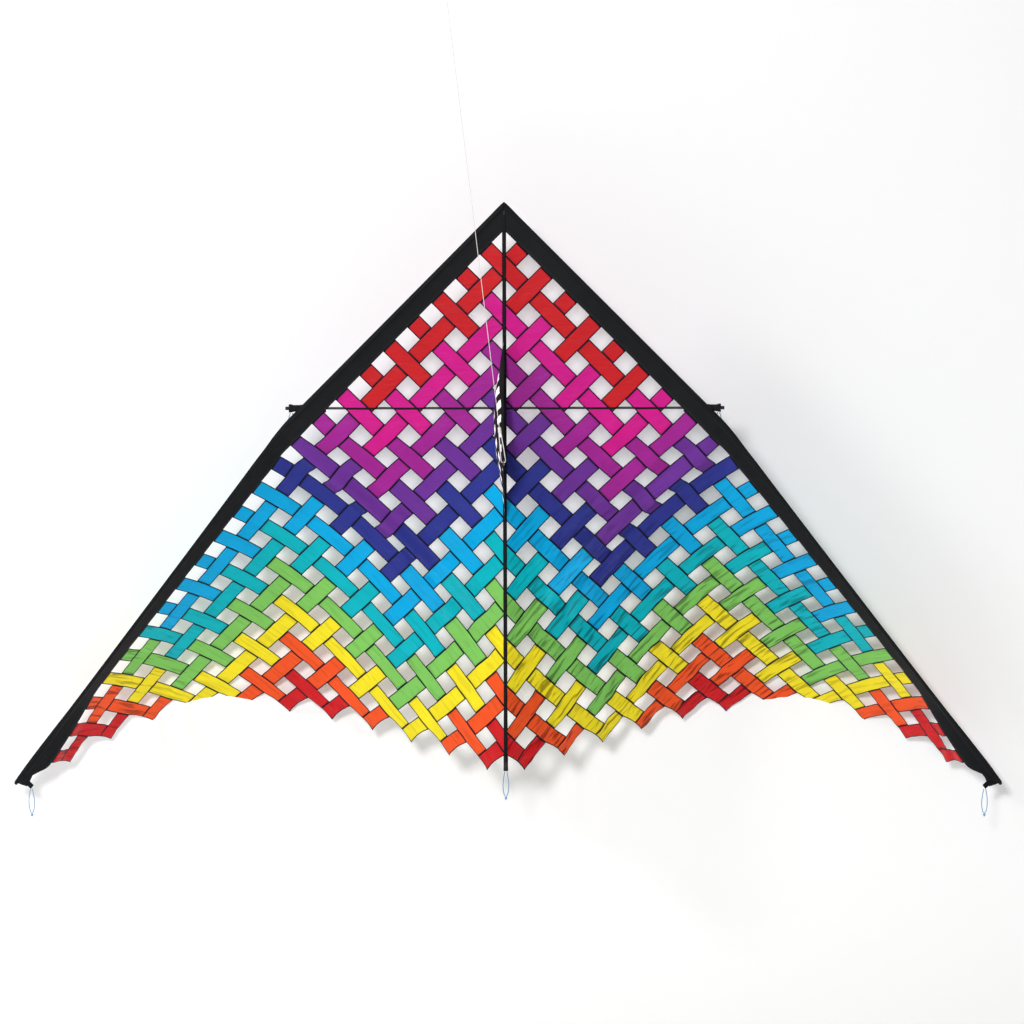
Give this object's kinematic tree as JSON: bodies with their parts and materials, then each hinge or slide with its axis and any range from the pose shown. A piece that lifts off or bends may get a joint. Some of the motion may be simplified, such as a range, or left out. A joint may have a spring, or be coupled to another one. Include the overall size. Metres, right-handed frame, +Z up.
{
  "type": "delta kite",
  "caption": "Large delta kite: vented sail of woven rainbow strips on folding leading-edge spars and a rear spreader, with a mesh keel, tow line and tail loops.",
  "frame": {"origin": "centre of the tow eyelet in the keel", "axes": "+X to the right wing tip as the flyer sees it, +Y away from the flyer through the sail, +Z up the spine to the nose"},
  "size_m": [2.4926, 1.2676, 2.0688],
  "materials": {
    "sail_ripstop": "woven ripstop strips in eleven rainbow colours, thin and slightly translucent",
    "black_ripstop": "black woven polyester, matte, stitched",
    "black_webbing": "black woven webbing, matte",
    "keel_mesh": "open black polyester mesh with a taped edge",
    "carbon_tube": "ground carbon-fibre tube, satin black",
    "aluminium_ferrule": "drawn tube, satin",
    "rubber_cap": "moulded black rubber, matte",
    "blue_cord": "braided polyester cord, light blue",
    "nickel_eyelet": "nickel-plated brass, lightly worn",
    "pale_line": "braided polyester line, off-white",
    "pale_clip": "moulded off-white plastic"
  },
  "bodies": {
    "frame": {"spine_upper_spar": "carbon_tube", "spine_lower_spar": "carbon_tube", "spine_ferrule": "aluminium_ferrule", "spine_end_caps": "rubber_cap", "spine_sleeve": "black_ripstop", "spine_tail_tab": "black_webbing"},
    "left_wing": {"left_sail": "sail_ripstop", "left_leading_edge_facing": "black_ripstop", "left_leading_edge_sleeve": "black_ripstop", "left_leading_edge_upper_spar": "carbon_tube", "left_leading_edge_lower_spar": "carbon_tube", "left_leading_edge_ferrule": "aluminium_ferrule", "left_leading_edge_end_caps": "rubber_cap", "left_tip_tab": "black_webbing"},
    "left_spreader_arm": {"left_spreader_rod": "carbon_tube", "left_spreader_pocket": "black_webbing", "left_spreader_end_cap": "rubber_cap", "spreader_ferrule": "aluminium_ferrule"},
    "left_tip_tail_loop": {"left_tip_loop": "blue_cord", "left_tip_knot": "blue_cord"},
    "left_spreader_tail_loop": {"left_spreader_loop": "blue_cord", "left_spreader_knot": "blue_cord"},
    "right_wing": {"right_sail": "sail_ripstop", "right_leading_edge_facing": "black_ripstop", "right_leading_edge_sleeve": "black_ripstop", "right_leading_edge_upper_spar": "carbon_tube", "right_leading_edge_lower_spar": "carbon_tube", "right_leading_edge_ferrule": "aluminium_ferrule", "right_leading_edge_end_caps": "rubber_cap", "right_tip_tab": "black_webbing"},
    "right_spreader_arm": {"right_spreader_rod": "carbon_tube", "right_spreader_pocket": "black_webbing", "right_spreader_end_cap": "rubber_cap"},
    "right_tip_tail_loop": {"right_tip_loop": "blue_cord", "right_tip_knot": "blue_cord"},
    "right_spreader_tail_loop": {"right_spreader_loop": "blue_cord", "right_spreader_knot": "blue_cord"},
    "spine_tail_loop": {"spine_loop": "blue_cord", "spine_knot": "blue_cord"},
    "keel": {"keel_panel": "keel_mesh", "tow_eyelet": "nickel_eyelet"},
    "tow_line": {"tow_loop": "blue_cord", "line_clip": "pale_clip", "flying_line": "pale_line", "line_end_knot": "pale_line"}
  },
  "joints": [
    {"name": "left_wing_fold", "type": "hinge", "parent": "frame", "child": "left_wing", "pos_m": [0, 0.205, 0.589], "axis": [0, 0, 1], "range_deg": [0, 60]},
    {"name": "left_spreader_swing", "type": "hinge", "parent": "left_wing", "child": "left_spreader_arm", "pos_m": [-0.485, 0.217, 0.104], "axis": [0, -1, 0], "range_deg": [0, 40]},
    {"name": "left_tip_loop_swing", "type": "hinge", "parent": "left_wing", "child": "left_tip_tail_loop", "pos_m": [-1.20079, 0.42886, -0.88607], "axis": [1, 0, 0], "range_deg": [-40, 40]},
    {"name": "left_spreader_loop_swing", "type": "hinge", "parent": "left_spreader_arm", "child": "left_spreader_tail_loop", "pos_m": [-0.514, 0.222, 0.09206], "axis": [0, -1, 0], "range_deg": [-35, 35]},
    {"name": "right_wing_fold", "type": "hinge", "parent": "frame", "child": "right_wing", "pos_m": [0, 0.205, 0.589], "axis": [0, 0, -1], "range_deg": [0, 60]},
    {"name": "right_spreader_swing", "type": "hinge", "parent": "right_wing", "child": "right_spreader_arm", "pos_m": [0.485, 0.217, 0.104], "axis": [0, 1, 0], "range_deg": [0, 40]},
    {"name": "right_tip_loop_swing", "type": "hinge", "parent": "right_wing", "child": "right_tip_tail_loop", "pos_m": [1.20079, 0.42886, -0.88607], "axis": [1, 0, 0], "range_deg": [-40, 40]},
    {"name": "right_spreader_loop_swing", "type": "hinge", "parent": "right_spreader_arm", "child": "right_spreader_tail_loop", "pos_m": [0.514, 0.222, 0.09206], "axis": [0, 1, 0], "range_deg": [-35, 35]},
    {"name": "spine_loop_swing", "type": "hinge", "parent": "frame", "child": "spine_tail_loop", "pos_m": [0, 0.213, -0.78968], "axis": [1, 0, 0], "range_deg": [-40, 40]},
    {"name": "keel_swing", "type": "hinge", "parent": "frame", "child": "keel", "pos_m": [0, 0.205, 0], "axis": [0, 0, 1], "range_deg": [-12, 12]},
    {"name": "tow_line_swing", "type": "hinge", "parent": "keel", "child": "tow_line", "pos_m": [0, 0, 0], "axis": [-1, 0, 0], "range_deg": [-30, 25]}
  ]
}
